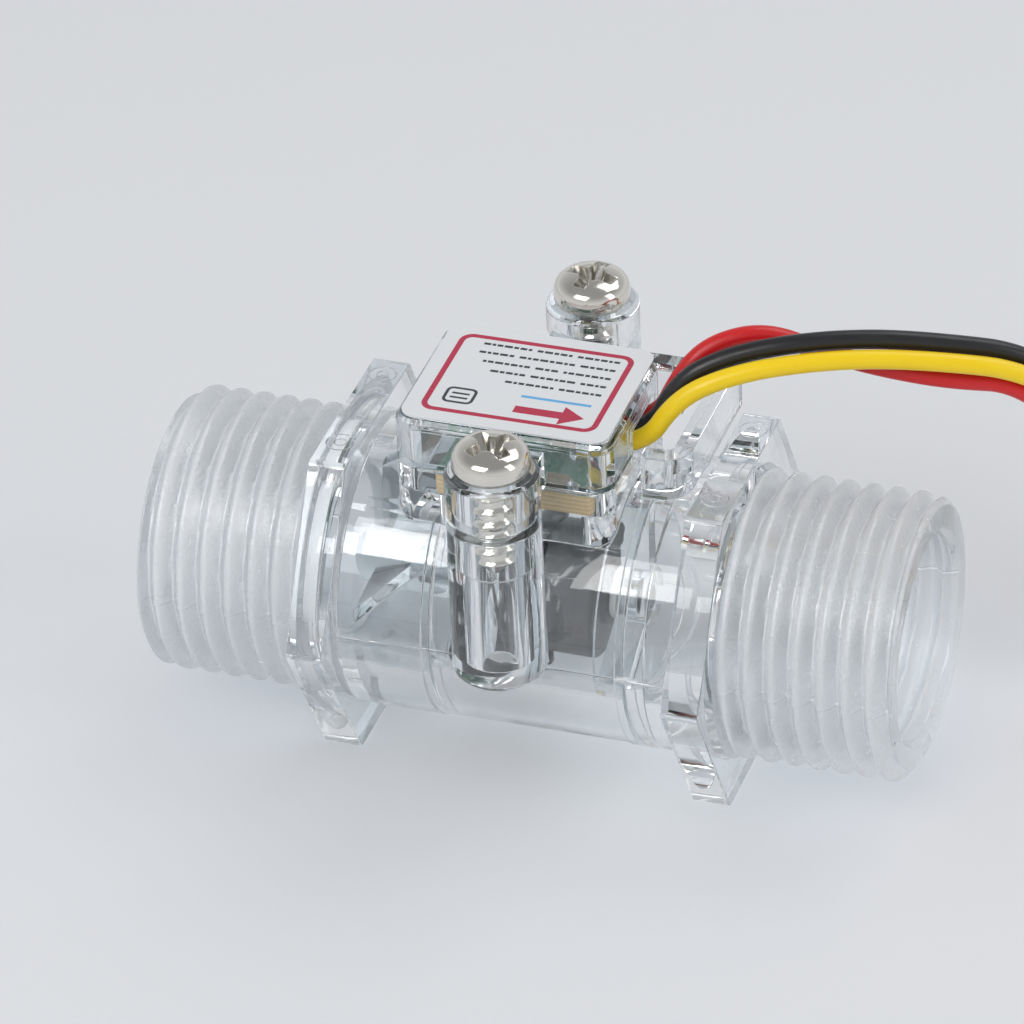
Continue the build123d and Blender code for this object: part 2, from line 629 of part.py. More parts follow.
def bend_radii(points):
    """The radius at each corner: 0.45 of the shorter run over the tangent of half the turn."""
    radii = []
    for before, here, after in zip(points, points[1:], points[2:]):
        arrive = Vector(*here) - Vector(*before)
        leave = Vector(*after) - Vector(*here)
        half_turn = radians(arrive.get_angle(leave)) / 2
        radii.append(0.45 * min(arrive.length, leave.length) / tan(half_turn))
    return radii


def wire(name):
    """One insulated wire as a round tube along its route."""
    points = wire_route(name)
    radii = bend_radii(points)
    path = FilletPolyline(*points, radius=radii)
    section = Plane(origin=path @ 0, z_dir=path % 0) * Circle(WIRE_RADIUS)
    solid = sweep(section, path=path)
    share = solid.volume / (pi * WIRE_RADIUS**2 * path.length)
    print(name, "length", round(path.length, 2), "radii", [round(r, 1) for r in radii])
    print(name, "volume over section times length", round(share, 5))
    return solid


def nodes():
    """Every sub-part by its node's name."""
    made = {
        "valve_body": valve_body(),
        "sensor_cover": sensor_cover(),
        "label_plate": label_plate(),
        "cover_screws": Compound([cover_screw(side) for side in (-1, 1)]),
        "circuit_board": circuit_board(),
        "hall_sensor": hall_sensor(),
        "chip_capacitor": chip(CAPACITOR_SIZE, BOARD_RIGHT - CAPACITOR_INSET),
        "chip_resistor": chip(RESISTOR_SIZE, BOARD_LEFT + RESISTOR_INSET),
        "solder_joints": Compound([solder_joint(y) for y in WIRE_YS]),
        "rotor": rotor(),
        "rotor_magnet": rotor_magnet(),
        "rotor_shaft": rotor_shaft(),
        "thrust_washers": Compound([thrust_washer(start) for start in WASHER_STARTS]),
        "flow_guide": flow_guide(),
        "outlet_bracket": outlet_bracket(),
        "retaining_clip": retaining_clip(),
        "connector_housing": connector_housing(),
        "crimp_terminals": Compound([crimp_terminal(k) for k in (-1, 0, 1)]),
    }
    for name in WIRES:
        made[name] = wire(name)
    return made


def main():
    os.makedirs("parts", exist_ok=True)
    for name, shape in nodes().items():
        export_step(shape, f"parts/{name}.step")


main()
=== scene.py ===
"""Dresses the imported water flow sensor: camera, light, wires, clear mouldings, print and metal."""
import math

import bmesh
import bpy
from mathutils import Matrix, Vector


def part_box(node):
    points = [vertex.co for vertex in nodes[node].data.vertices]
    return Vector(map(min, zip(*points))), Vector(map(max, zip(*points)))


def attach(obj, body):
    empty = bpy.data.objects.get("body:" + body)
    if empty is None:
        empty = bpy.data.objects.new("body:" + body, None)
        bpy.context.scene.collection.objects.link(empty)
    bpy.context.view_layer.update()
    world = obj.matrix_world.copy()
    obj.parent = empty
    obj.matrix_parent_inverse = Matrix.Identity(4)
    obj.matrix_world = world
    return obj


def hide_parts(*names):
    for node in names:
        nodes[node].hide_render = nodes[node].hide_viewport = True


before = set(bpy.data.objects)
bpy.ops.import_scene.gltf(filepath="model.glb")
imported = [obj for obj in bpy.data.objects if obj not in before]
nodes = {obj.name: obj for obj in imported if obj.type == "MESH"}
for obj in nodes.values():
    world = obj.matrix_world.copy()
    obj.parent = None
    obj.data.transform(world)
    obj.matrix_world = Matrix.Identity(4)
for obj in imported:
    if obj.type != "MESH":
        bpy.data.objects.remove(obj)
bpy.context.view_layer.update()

MM = 0.001

# The camera of the photograph, fitted to the pipe threads, hexagons and posts
CAMERA_AZIMUTH = math.radians(19.81)
CAMERA_ELEVATION = math.radians(33.77)
CAMERA_ROLL = math.radians(-2.62)
CAMERA_RIGHT = -2.82 * MM
CAMERA_UP = 4.96 * MM
CAMERA_DISTANCE = 578.9 * MM
CAMERA_LENS_MM = 282.2

# The room that glass and metal show, pale at the horizon and darker overhead, and the light it gives
HORIZON_LEVEL = 0.82
CEILING_LEVEL = 0.36
CEILING_RISE = 0.75
ROOM_TINT = (0.95, 0.97, 1, 1)
ROOM_LIGHT = 0.45

# The floor: half its side, how far it lies under the part, and its colour
FLOOR_REACH = 1.5
FLOOR_DROP = 0.02 * MM
FLOOR_COLOUR = (0.80, 0.81, 0.83, 1)

# Soft lights: name, azimuth and elevation in degrees, distance and size in metres, watts
LIGHTS = (
    ("front_box", -22, 45, 0.7, (0.42, 0.32), 1.9),
    ("back_box", 150, 55, 0.8, (0.5, 0.4), 1.3),
    ("side_box", 80, 30, 0.7, (0.2, 0.5), 0.6),
)

# Places on the object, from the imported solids
BODY_LOW, BODY_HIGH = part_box("valve_body")
LABEL_LOW, LABEL_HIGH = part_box("label_plate")
SCREW_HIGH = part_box("cover_screws")[1]
BOARD_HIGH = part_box("circuit_board")[1]
HALF_LENGTH = BODY_HIGH.x
AXIS_HEIGHT = 12.25 * MM
THREAD_LENGTH = 12.85 * MM
HEX_THICKNESS = 2.8 * MM
HEX_FACE = HALF_LENGTH - THREAD_LENGTH

WIRE_DIAMETER = 1.4 * MM

YELLOW_ROUTE = [
    (0.0029, -0.00025, 0.02495), (0.0073, -0.00025, 0.02495), (0.0098, 0.0006, 0.02925),
    (0.0136, 0.0021, 0.03095), (0.0182, 0.0041, 0.03145), (0.0228, 0.0062, 0.03125),
    (0.0276, 0.0081, 0.03055), (0.0324, 0.0099, 0.02955), (0.0376, 0.012, 0.02565),
    (0.0414, 0.0134, 0.01985), (0.0449, 0.0144, 0.01365), (0.0483, 0.0149, 0.00765),
    (0.0524, 0.0147, 0.00315), (0.0566, 0.014, 0.00075), (0.0612, 0.014, 0.00075),
    (0.0648, 0.0175, 0.00075), (0.0648, 0.0223, 0.00075), (0.0612, 0.0259, 0.00075),
    (0.0556, 0.0258, 0.00075), (0.0476, 0.026, 0.00285), (0.0425, 0.026, 0.00285),
]
BLACK_ROUTE = [
    (0.0029, 0.00145, 0.02495), (0.0073, 0.00145, 0.02495), (0.0094, 0.0022, 0.02965),
    (0.0126, 0.0036, 0.03135), (0.0172, 0.0052, 0.03225), (0.0222, 0.0075, 0.03205),
    (0.0272, 0.0096, 0.03115), (0.0322, 0.0116, 0.02995), (0.0371, 0.0138, 0.02545),
    (0.0411, 0.0154, 0.01965), (0.0446, 0.0163, 0.01345), (0.0481, 0.0169, 0.00745),
    (0.0524, 0.0167, 0.00315), (0.0564, 0.0158, 0.00075), (0.0601, 0.0158, 0.00075),
    (0.0626, 0.0182, 0.00075), (0.0626, 0.0213, 0.00075), (0.0602, 0.0235, 0.00075),
    (0.0558, 0.0233, 0.00075), (0.0476, 0.0235, 0.00285), (0.0425, 0.0235, 0.00285),
]
RED_ROUTE = [
    (0.0029, 0.00315, 0.02495), (0.0073, 0.00315, 0.02495), (0.0091, 0.0039, 0.02925),
    (0.0111, 0.0052, 0.03125), (0.0145, 0.0069, 0.03175), (0.0184, 0.008, 0.02995),
    (0.0229, 0.0081, 0.02925), (0.0275, 0.0092, 0.02835), (0.0322, 0.0107, 0.02795),
    (0.0369, 0.011, 0.02345), (0.041, 0.0124, 0.01785), (0.0447, 0.0131, 0.01125),
    (0.0496, 0.0128, 0.00315), (0.0554, 0.0121, 0.00075), (0.0621, 0.0121, 0.00075),
    (0.067, 0.0169, 0.00075), (0.067, 0.0236, 0.00075), (0.0622, 0.0284, 0.00075),
    (0.0558, 0.0283, 0.00075), (0.0476, 0.0285, 0.00285), (0.0425, 0.0285, 0.00285),
]


# Camera, floor and light

def direction(azimuth, elevation):
    """The way from the object towards an azimuth and elevation in radians."""
    level = math.cos(elevation)
    return Vector((math.sin(azimuth) * level, -math.cos(azimuth) * level, math.sin(elevation)))


def make_camera():
    """The photograph's view."""
    back = direction(CAMERA_AZIMUTH, CAMERA_ELEVATION)
    level = Vector((math.cos(CAMERA_AZIMUTH), math.sin(CAMERA_AZIMUTH), 0))
    upward = back.cross(level)
    right = level * math.cos(CAMERA_ROLL) + upward * math.sin(CAMERA_ROLL)
    up = upward * math.cos(CAMERA_ROLL) - level * math.sin(CAMERA_ROLL)
    place = Vector((0, 0, AXIS_HEIGHT)) + right * CAMERA_RIGHT + up * CAMERA_UP + back * CAMERA_DISTANCE
    data = bpy.data.cameras.new("camera")
    data.lens = CAMERA_LENS_MM
    data.clip_start, data.clip_end = 0.01, 20
    camera = bpy.data.objects.new("camera", data)
    camera.matrix_world = Matrix.Translation(place) @ Matrix((right, up, back)).transposed().to_4x4()
    bpy.context.scene.collection.objects.link(camera)
    bpy.context.scene.camera = camera


def area_light(name, azimuth, elevation, distance, size, watts):
    """A soft light that points at the object from an azimuth and elevation in degrees."""
    back = direction(math.radians(azimuth), math.radians(elevation))
    data = bpy.data.lights.new(name, "AREA")
    data.shape = "RECTANGLE"
    data.size, data.size_y = size
    data.energy = watts
    light = bpy.data.objects.new(name, data)
    light.location = Vector((0, 0, AXIS_HEIGHT)) + back * distance
    light.rotation_euler = back.to_track_quat("Z", "Y").to_euler()
    bpy.context.scene.collection.objects.link(light)


def make_world():
    """Soft light all round, and a plain room for glass and metal to show."""
    world = bpy.data.worlds.new("studio")
    bpy.context.scene.world = world
    world.use_nodes = True
    tree = world.node_tree
    tree.nodes.clear()
    path = add(tree, "LightPath")
    seen = math_node(tree, "MAXIMUM", path.outputs["Is Camera Ray"], path.outputs["Is Glossy Ray"])
    through = math_node(tree, "MAXIMUM", seen, path.outputs["Is Transmission Ray"])
    lit = add(tree, "Background", Color=ROOM_TINT, Strength=ROOM_LIGHT)
    shown = add(tree, "Background", Color=ROOM_TINT)
    place = add(tree, "TexCoord")
    parts = add(tree, "SeparateXYZ")
    rise = add(tree, "MapRange", From_Min=0.0, From_Max=CEILING_RISE,
               To_Min=HORIZON_LEVEL, To_Max=CEILING_LEVEL)
    tree.links.new(place.outputs["Generated"], parts.inputs[0])
    tree.links.new(parts.outputs[2], rise.inputs["Value"])
    tree.links.new(rise.outputs[0], shown.inputs["Strength"])
    mix = add(tree, "MixShader")
    tree.links.new(through, mix.inputs[0])
    tree.links.new(lit.outputs[0], mix.inputs[1])
    tree.links.new(shown.outputs[0], mix.inputs[2])
    tree.links.new(mix.outputs[0], add(tree, "OutputWorld").inputs[0])


def make_floor():
    """A plain pale floor."""
    mesh = bpy.data.meshes.new("floor")
    corners = [(x * FLOOR_REACH, y * FLOOR_REACH, 0) for x, y in ((-1, -1), (1, -1), (1, 1), (-1, 1))]
    mesh.from_pydata(corners, [], [(0, 1, 2, 3)])
    floor = bpy.data.objects.new("floor", mesh)
    floor.location.z = -FLOOR_DROP
    bpy.context.scene.collection.objects.link(floor)
    mat = new_material("pale_floor")
    shader_of(mat).inputs["Base Color"].default_value = FLOOR_COLOUR
    shader_of(mat).inputs["Roughness"].default_value = 0.6
    mesh.materials.append(mat)


# Node tools

def new_material(name):
    """A node material that holds only its principled shader."""
    mat = bpy.data.materials.new(name)
    mat.use_nodes = True
    return mat


def shader_of(mat):
    """A material's principled shader."""
    return mat.node_tree.nodes["Principled BSDF"]


def add(tree, kind, **values):
    """A node of that kind with its settings, or its input values by name."""
    node = tree.nodes.new("ShaderNode" + kind)
    for key, value in values.items():
        if key in node.bl_rna.properties:
            setattr(node, key, value)
        else:
            node.inputs[key.replace("_", " ")].default_value = value
    return node


def math_node(tree, operation, first, second=None):
    """A math node's output, from sockets or plain numbers."""
    node = add(tree, "Math", operation=operation)
    for socket, value in zip(node.inputs, (first, second)):
        if value is None:
            continue
        if isinstance(value, (int, float)):
            socket.default_value = value
        else:
            tree.links.new(value, socket)
    return node.outputs[0]


def new_group(name, inputs, outputs):
    """A shader node group with its sockets: (group, input node, output node)."""
    tree = bpy.data.node_groups.new(name, "ShaderNodeTree")
    for socket, kind in inputs:
        tree.interface.new_socket(socket, in_out="INPUT", socket_type=kind)
    for socket, kind in outputs:
        tree.interface.new_socket(socket, in_out="OUTPUT", socket_type=kind)
    return tree, tree.nodes.new("NodeGroupInput"), tree.nodes.new("NodeGroupOutput")


def place_group(tree, group, **values):
    """A copy of a group in a material, with its own values."""
    node = tree.nodes.new("ShaderNodeGroup")
    node.node_tree = group
    for key, value in values.items():
        node.inputs[key.replace("_", " ")].default_value = value
    return node


def bump(tree, shader, height, distance):
    """A height feeds the shader's normal."""
    node = add(tree, "Bump", Distance=distance, Strength=1.0)
    tree.links.new(height, node.inputs["Height"])
    tree.links.new(node.outputs["Normal"], shader.inputs["Normal"])
    return node


# Effects that several finishes share

FLOAT, COLOUR = "NodeSocketFloat", "NodeSocketColor"


def make_moulded_grain():
    """Slow flow waves and a fine grain, as on a moulded surface."""
    sockets = [("Wave Size", FLOAT), ("Wave", FLOAT), ("Grain Size", FLOAT), ("Grain", FLOAT)]
    tree, given, made = new_group("moulded_grain", sockets, [("Height", FLOAT)])
    place = add(tree, "TexCoord")
    wave = add(tree, "TexNoise", Detail=1.0)
    grain = add(tree, "TexNoise", Detail=2.0)
    for texture, size in ((wave, "Wave Size"), (grain, "Grain Size")):
        tree.links.new(place.outputs["Object"], texture.inputs["Vector"])
        tree.links.new(given.outputs[size], texture.inputs["Scale"])
    low = math_node(tree, "MULTIPLY", wave.outputs[0], given.outputs["Wave"])
    high = math_node(tree, "MULTIPLY", grain.outputs[0], given.outputs["Grain"])
    tree.links.new(math_node(tree, "ADD", low, high), made.inputs["Height"])
    return tree


def make_handling_marks():
    """Roughness that drifts between two values, with faint rubbed streaks."""
    sockets = [("Size", FLOAT), ("Smooth", FLOAT), ("Rubbed", FLOAT)]
    tree, given, made = new_group("handling_marks", sockets, [("Roughness", FLOAT)])
    place = add(tree, "TexCoord")
    cloud = add(tree, "TexNoise", Detail=4.0, Roughness=0.6)
    tree.links.new(place.outputs["Object"], cloud.inputs["Vector"])
    tree.links.new(given.outputs["Size"], cloud.inputs["Scale"])
    spread = add(tree, "MapRange", From_Min=0.35, From_Max=0.7)
    tree.links.new(cloud.outputs[0], spread.inputs["Value"])
    tree.links.new(given.outputs["Smooth"], spread.inputs["To Min"])
    tree.links.new(given.outputs["Rubbed"], spread.inputs["To Max"])
    tree.links.new(spread.outputs[0], made.inputs["Roughness"])
    return tree


def make_colour_drift():
    """A colour that drifts a little towards a second one."""
    sockets = [("Size", FLOAT), ("Colour", COLOUR), ("Shade", COLOUR)]
    tree, given, made = new_group("colour_drift", sockets, [("Colour", COLOUR)])
    place = add(tree, "TexCoord")
    cloud = add(tree, "TexNoise", Detail=3.0)
    tree.links.new(place.outputs["Object"], cloud.inputs["Vector"])
    tree.links.new(given.outputs["Size"], cloud.inputs["Scale"])
    mix = add(tree, "Mix", data_type="RGBA")
    tree.links.new(cloud.outputs[0], mix.inputs[0])
    tree.links.new(given.outputs["Colour"], mix.inputs[6])
    tree.links.new(given.outputs["Shade"], mix.inputs[7])
    tree.links.new(mix.outputs[2], made.inputs["Colour"])
    return tree


MOULDED_GRAIN = make_moulded_grain()
HANDLING_MARKS = make_handling_marks()
COLOUR_DRIFT = make_colour_drift()


# Solid finishes

# What a finish has unless it says otherwise, then what the inks and the wires' insulation share
MOULDED = dict(grain_size=2500.0, grain=0.4, wave=0.6, depth=0.02 * MM, metal=0.0)
INK = dict(grain_size=4000.0, grain=0.4, wave=0.4, depth=0.006 * MM)
VINYL = dict(smooth=0.28, rubbed=0.42, grain_size=2200.0, grain=0.35, wave=1.0, depth=0.03 * MM)

# Each has its colour and the shade it drifts to, its roughness where smooth and where rubbed, the size and
# strength of its grain, the strength of its slow waves, how deep both go, and whether it is metal
FINISHES = {
    "nickel_plate": dict(colour=(0.80, 0.77, 0.71), shade=(0.72, 0.69, 0.63), smooth=0.08, rubbed=0.2,
                         grain_size=3500.0, grain=0.25, wave=1.0, depth=0.012 * MM, metal=1.0),
    # The recess: rougher than the plate, and painted darker as the shade that falls in the cross
    "recess_nickel_painted_shade": dict(colour=(0.68, 0.66, 0.61), shade=(0.54, 0.52, 0.48), smooth=0.14, rubbed=0.28,
                          grain_size=2600.0, grain=0.6, wave=1.0, metal=1.0),
    "label_film": dict(colour=(0.80, 0.815, 0.83), shade=(0.77, 0.785, 0.805), smooth=0.12, rubbed=0.24,
                       grain_size=1500.0, grain=0.3, wave=0.7, depth=0.008 * MM),
    "crimson_print": dict(INK, colour=(0.52, 0.035, 0.085), shade=(0.46, 0.03, 0.07),
                          smooth=0.2, rubbed=0.32),
    "dark_print": dict(INK, colour=(0.035, 0.037, 0.045), shade=(0.06, 0.062, 0.07),
                       smooth=0.25, rubbed=0.38),
    "blue_print": dict(INK, colour=(0.12, 0.42, 0.75), shade=(0.16, 0.46, 0.78),
                       smooth=0.25, rubbed=0.38),
    "bright_solder": dict(colour=(0.78, 0.79, 0.80), shade=(0.66, 0.67, 0.69), smooth=0.12, rubbed=0.3,
                          wave=1.0, metal=1.0),
    "capacitor_ceramic": dict(colour=(0.36, 0.27, 0.17), shade=(0.30, 0.22, 0.14), smooth=0.3, rubbed=0.45),
    "resistor_film": dict(colour=(0.03, 0.03, 0.034), shade=(0.05, 0.05, 0.055), smooth=0.25, rubbed=0.4),
    "switch_epoxy": dict(colour=(0.025, 0.025, 0.028), shade=(0.04, 0.04, 0.043), smooth=0.45, rubbed=0.6,
                         grain_size=3000.0, grain=0.8),
    "black_acetal": dict(colour=(0.028, 0.028, 0.031), shade=(0.045, 0.045, 0.05), smooth=0.3, rubbed=0.46,
                         grain_size=1800.0, grain=0.5),
    "sintered_ferrite": dict(colour=(0.075, 0.075, 0.08), shade=(0.12, 0.12, 0.125), smooth=0.35,
                             rubbed=0.55, grain_size=2600.0, grain=1.0, wave=0.4, depth=0.04 * MM),
    "ground_steel": dict(colour=(0.66, 0.665, 0.67), shade=(0.58, 0.585, 0.59), smooth=0.16, rubbed=0.3,
                         grain_size=3800.0, grain=0.6, wave=0.2, depth=0.01 * MM, metal=1.0),
    "white_washer": dict(colour=(0.82, 0.81, 0.77), shade=(0.76, 0.75, 0.71), smooth=0.35, rubbed=0.5),
    "milky_clip": dict(colour=(0.80, 0.815, 0.825), shade=(0.75, 0.765, 0.775), smooth=0.3, rubbed=0.45),
    "white_nylon": dict(colour=(0.84, 0.83, 0.79), shade=(0.80, 0.79, 0.75), smooth=0.34, rubbed=0.5,
                        grain_size=2000.0, grain=0.5),
    "tinned_brass": dict(colour=(0.78, 0.75, 0.68), shade=(0.68, 0.65, 0.58), smooth=0.18, rubbed=0.32,
                         grain_size=3000.0, wave=0.4, depth=0.01 * MM, metal=1.0),
    "yellow_vinyl": dict(VINYL, colour=(0.98, 0.71, 0.006), shade=(0.97, 0.64, 0.005)),
    "black_vinyl": dict(VINYL, colour=(0.011, 0.011, 0.012), shade=(0.018, 0.018, 0.02)),
    "red_vinyl": dict(VINYL, colour=(0.70, 0.014, 0.016), shade=(0.62, 0.011, 0.013)),
}


def finish(name):
    """A solid finish: drifting colour, drifting roughness and a moulded or ground surface."""
    look = {**MOULDED, **FINISHES[name]}
    mat = new_material(name)
    tree, shader = mat.node_tree, shader_of(mat)
    tint = place_group(tree, COLOUR_DRIFT, Size=260.0,
                       Colour=(*look["colour"], 1), Shade=(*look["shade"], 1))
    tree.links.new(tint.outputs[0], shader.inputs["Base Color"])
    marks = place_group(tree, HANDLING_MARKS, Size=420.0, Smooth=look["smooth"], Rubbed=look["rubbed"])
    tree.links.new(marks.outputs[0], shader.inputs["Roughness"])
    surface = place_group(tree, MOULDED_GRAIN, Wave_Size=300.0, Wave=look["wave"],
                          Grain_Size=look["grain_size"], Grain=look["grain"])
    bump(tree, shader, surface.outputs[0], look["depth"])
    shader.inputs["Metallic"].default_value = look["metal"]
    return mat


def vinyl(name):
    """Wire insulation with a soft gloss."""
    mat = finish(name)
    shader_of(mat).inputs["Subsurface Weight"].default_value = 0.04
    shader_of(mat).inputs["Subsurface Scale"].default_value = 0.4 * MM
    return mat


# Clear plastic

POLYCARBONATE_IOR = 1.585

# A ray that has bounced more often than this leaves the clear plastic as light
DEEPEST_BOUNCE = 4.5


def let_lamps_through(tree, shader, colour):
    """Clear plastic that passes the lamps' light to what is inside, and lets out rays that bounced long."""
    path = add(tree, "LightPath")
    clear = add(tree, "BsdfTransparent", Color=(*colour, 1))
    mix = add(tree, "MixShader")
    late = math_node(tree, "GREATER_THAN", path.outputs["Ray Depth"], DEEPEST_BOUNCE)
    tree.links.new(math_node(tree, "MAXIMUM", path.outputs["Is Shadow Ray"], late), mix.inputs[0])
    tree.links.new(shader.outputs[0], mix.inputs[1])
    tree.links.new(clear.outputs[0], mix.inputs[2])
    tree.links.new(mix.outputs[0], tree.nodes["Material Output"].inputs["Surface"])


def clear_plastic(name):
    """Clear moulded polycarbonate with slow flow waves."""
    mat = new_material(name)
    tree, shader = mat.node_tree, shader_of(mat)
    tint = place_group(tree, COLOUR_DRIFT, Size=120.0,
                       Colour=(0.985, 0.992, 0.995, 1), Shade=(0.955, 0.97, 0.975, 1))
    tree.links.new(tint.outputs[0], shader.inputs["Base Color"])
    shader.inputs["IOR"].default_value = POLYCARBONATE_IOR
    shader.inputs["Transmission Weight"].default_value = 1
    marks = place_group(tree, HANDLING_MARKS, Size=500.0, Smooth=0.015, Rubbed=0.06)
    tree.links.new(marks.outputs[0], shader.inputs["Roughness"])
    surface = place_group(tree, MOULDED_GRAIN, Wave_Size=170.0, Wave=1.0, Grain_Size=900.0, Grain=0.06)
    bump(tree, shader, surface.outputs[0], 0.05 * MM)
    let_lamps_through(tree, shader, (0.93, 0.95, 0.96))
    return mat


def frosted_plastic(name):
    """The same polycarbonate with the spark-eroded frost of the threads, which glitters."""
    mat = new_material(name)
    tree, shader = mat.node_tree, shader_of(mat)
    tint = place_group(tree, COLOUR_DRIFT, Size=200.0,
                       Colour=(0.90, 0.915, 0.93, 1), Shade=(0.84, 0.86, 0.88, 1))
    tree.links.new(tint.outputs[0], shader.inputs["Base Color"])
    shader.inputs["IOR"].default_value = POLYCARBONATE_IOR
    shader.inputs["Transmission Weight"].default_value = 0.5
    shader.inputs["Coat Weight"].default_value = 0.8
    shader.inputs["Coat Roughness"].default_value = 0.2
    marks = place_group(tree, HANDLING_MARKS, Size=900.0, Smooth=0.16, Rubbed=0.28)
    tree.links.new(marks.outputs[0], shader.inputs["Roughness"])
    surface = place_group(tree, MOULDED_GRAIN, Wave_Size=900.0, Wave=0.2, Grain_Size=4700.0, Grain=1.25)
    relief = bump(tree, shader, surface.outputs[0], 0.05 * MM)
    tree.links.new(relief.outputs["Normal"], shader.inputs["Coat Normal"])
    let_lamps_through(tree, shader, (0.80, 0.82, 0.84))
    return mat


# Pieces and edges

WELD_REACH = 0.002 * MM


def soften(piece, width, angle=32):
    """Rounds the edges of a piece that are sharper than an angle in degrees."""
    edge = piece.modifiers.new("soft_edges", "BEVEL")
    edge.width = width
    edge.segments = 2
    edge.limit_method = "ANGLE"
    edge.angle_limit = math.radians(angle)
    edge.use_clamp_overlap = True
    edge.harden_normals = False


def steady_normals(piece):
    """Keeps flat faces flat in light and refraction beside their rounded edges."""
    weighting = piece.modifiers.new("steady_normals", "WEIGHTED_NORMAL")
    weighting.keep_sharp = True
    weighting.weight = 90


def dress(name, mat, edge=0.0):
    """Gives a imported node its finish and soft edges."""
    node = nodes[name]
    node.data.materials.clear()
    node.data.materials.append(mat)
    if edge:
        weld = node.modifiers.new("weld", "WELD")
        weld.merge_threshold = WELD_REACH
        soften(node, edge)
    return node


def piece_from(name, mesh, mat):
    """A new piece of the scene that rides on the sensor."""
    mesh.materials.clear()
    mesh.materials.append(mat)
    for face in mesh.polygons:
        face.use_smooth = True
    mesh.set_sharp_from_angle(angle=math.radians(38))
    piece = bpy.data.objects.new(name, mesh)
    bpy.context.scene.collection.objects.link(piece)
    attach(piece, "sensor")
    return piece


# Meshes

def mesh_from(name, points, faces):
    """A mesh whose faces look outwards."""
    mesh = bpy.data.meshes.new(name)
    mesh.from_pydata(points, [], faces)
    shape = bmesh.new()
    shape.from_mesh(mesh)
    bmesh.ops.recalc_face_normals(shape, faces=shape.faces)
    shape.to_mesh(mesh)
    shape.free()
    return mesh


def bands(first, rings, sides):
    """The faces between rings of points that follow one another from the first point on."""
    faces = []
    for i in range(rings - 1):
        low = first + i * sides
        high = low + sides
        for j in range(sides):
            k = (j + 1) % sides
            faces.append((low + j, low + k, high + k, high + j))
    return faces


def settled(name, piece):
    """The piece's mesh with its modifiers worked in; the piece itself goes."""
    bpy.context.view_layer.update()
    shown = piece.evaluated_get(bpy.context.evaluated_depsgraph_get())
    mesh = bpy.data.meshes.new_from_object(shown)
    mesh.name = name
    bpy.data.objects.remove(piece)
    return mesh


def loose(name, mesh):
    """A helper object, linked but not a piece."""
    helper = bpy.data.objects.new(name, mesh)
    bpy.context.scene.collection.objects.link(helper)
    return helper


def cut(mesh, tools, operation="DIFFERENCE"):
    """The mesh with the tool meshes cut out of it, or joined to it."""
    piece = loose(mesh.name, mesh)
    helpers = [loose("cutter", tool) for tool in tools]
    for helper in helpers:
        step = piece.modifiers.new("cut", "BOOLEAN")
        step.operation = operation
        step.solver = "EXACT"
        step.object = helper
    result = settled(mesh.name, piece)
    for helper in helpers:
        bpy.data.objects.remove(helper)
    return result


def clean_copy(node, edge):
    """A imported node's mesh, welded, with flat faces joined and edges rounded."""
    shape = bmesh.new()
    shape.from_mesh(nodes[node].data)
    bmesh.ops.remove_doubles(shape, verts=shape.verts, dist=WELD_REACH)
    bmesh.ops.dissolve_limit(shape, angle_limit=math.radians(0.6), verts=shape.verts, edges=shape.edges)
    mesh = bpy.data.meshes.new(node)
    shape.to_mesh(mesh)
    shape.free()
    piece = loose(node, mesh)
    soften(piece, edge)
    piece.modifiers["soft_edges"].use_clamp_overlap = False
    return settled(node, piece)


# Pipe thread

THREAD_PITCH = 25.4 / 14 * MM
THREAD_CREST = 10.45 * MM
THREAD_ROOT = 9.36 * MM

# Where a crest passes over the top of each threaded end
LEFT_CREST = -26.954 * MM
RIGHT_CREST = 15.627 * MM

# The crest's flat and the flank, as shares of half a pitch, and how far the flank sags between them
CREST_SHARE = 0.14
FLANK_SHARE = 0.76
FLANK_SAG = 0.38

# The mould's seam on the thread: a ridge, a step between the mould's halves, and the turns that carry it
RIDGE_LIMIT = 10.465 * MM
SEAM_RISE = 0.1 * MM
SEAM_WIDTH = 0.13 * MM
SEAM_STEP = 0.06 * MM
SEAM_DEGREES = (0.3, 0.6, 0.95)

# The cutter: rows to a pitch, columns round the pipe, and how far it reaches
CUTTER_ROWS = 16
CUTTER_COLUMNS = 240
CUTTER_GAP = 0.012 * MM
CUTTER_OVERRUN = 0.4 * MM
CUTTER_RADIUS = 11.2 * MM

# Outside this radius a threaded end is frosted
FROST_RADIUS = 9.0 * MM


def seam_turns(columns):
    """Even turns about the pipe, with more of them beside the mould's seam in front and at the back."""
    turns = {2 * math.pi * k / columns for k in range(columns)}
    for middle in (0.0, math.pi):
        for degrees in SEAM_DEGREES:
            away = math.radians(degrees)
            turns |= {(middle + away) % (2 * math.pi), (middle - away) % (2 * math.pi)}
    return sorted(turns)


def ring_mesh(name, rows, turns, radius_at, outer):
    """A closed ring round the pipe axis: radius_at(x, turn) is its inner wall, the outer one is plain."""
    points, faces = [], []
    count, columns = len(rows), len(turns)
    for wall in (radius_at, lambda x, turn: outer):
        for x in rows:
            for turn in turns:
                r = wall(x, turn)
                points.append((x, r * math.cos(turn), AXIS_HEIGHT + r * math.sin(turn)))

    def at(wall, row, column):
        return (wall * count + row) * columns + column % columns

    for column in range(columns):
        for wall in (0, 1):
            for row in range(count - 1):
                faces.append((at(wall, row, column), at(wall, row + 1, column),
                              at(wall, row + 1, column + 1), at(wall, row, column + 1)))
        for row in (0, count - 1):
            faces.append((at(0, row, column), at(1, row, column),
                          at(1, row, column + 1), at(0, row, column + 1)))
    return mesh_from(name, points, faces)


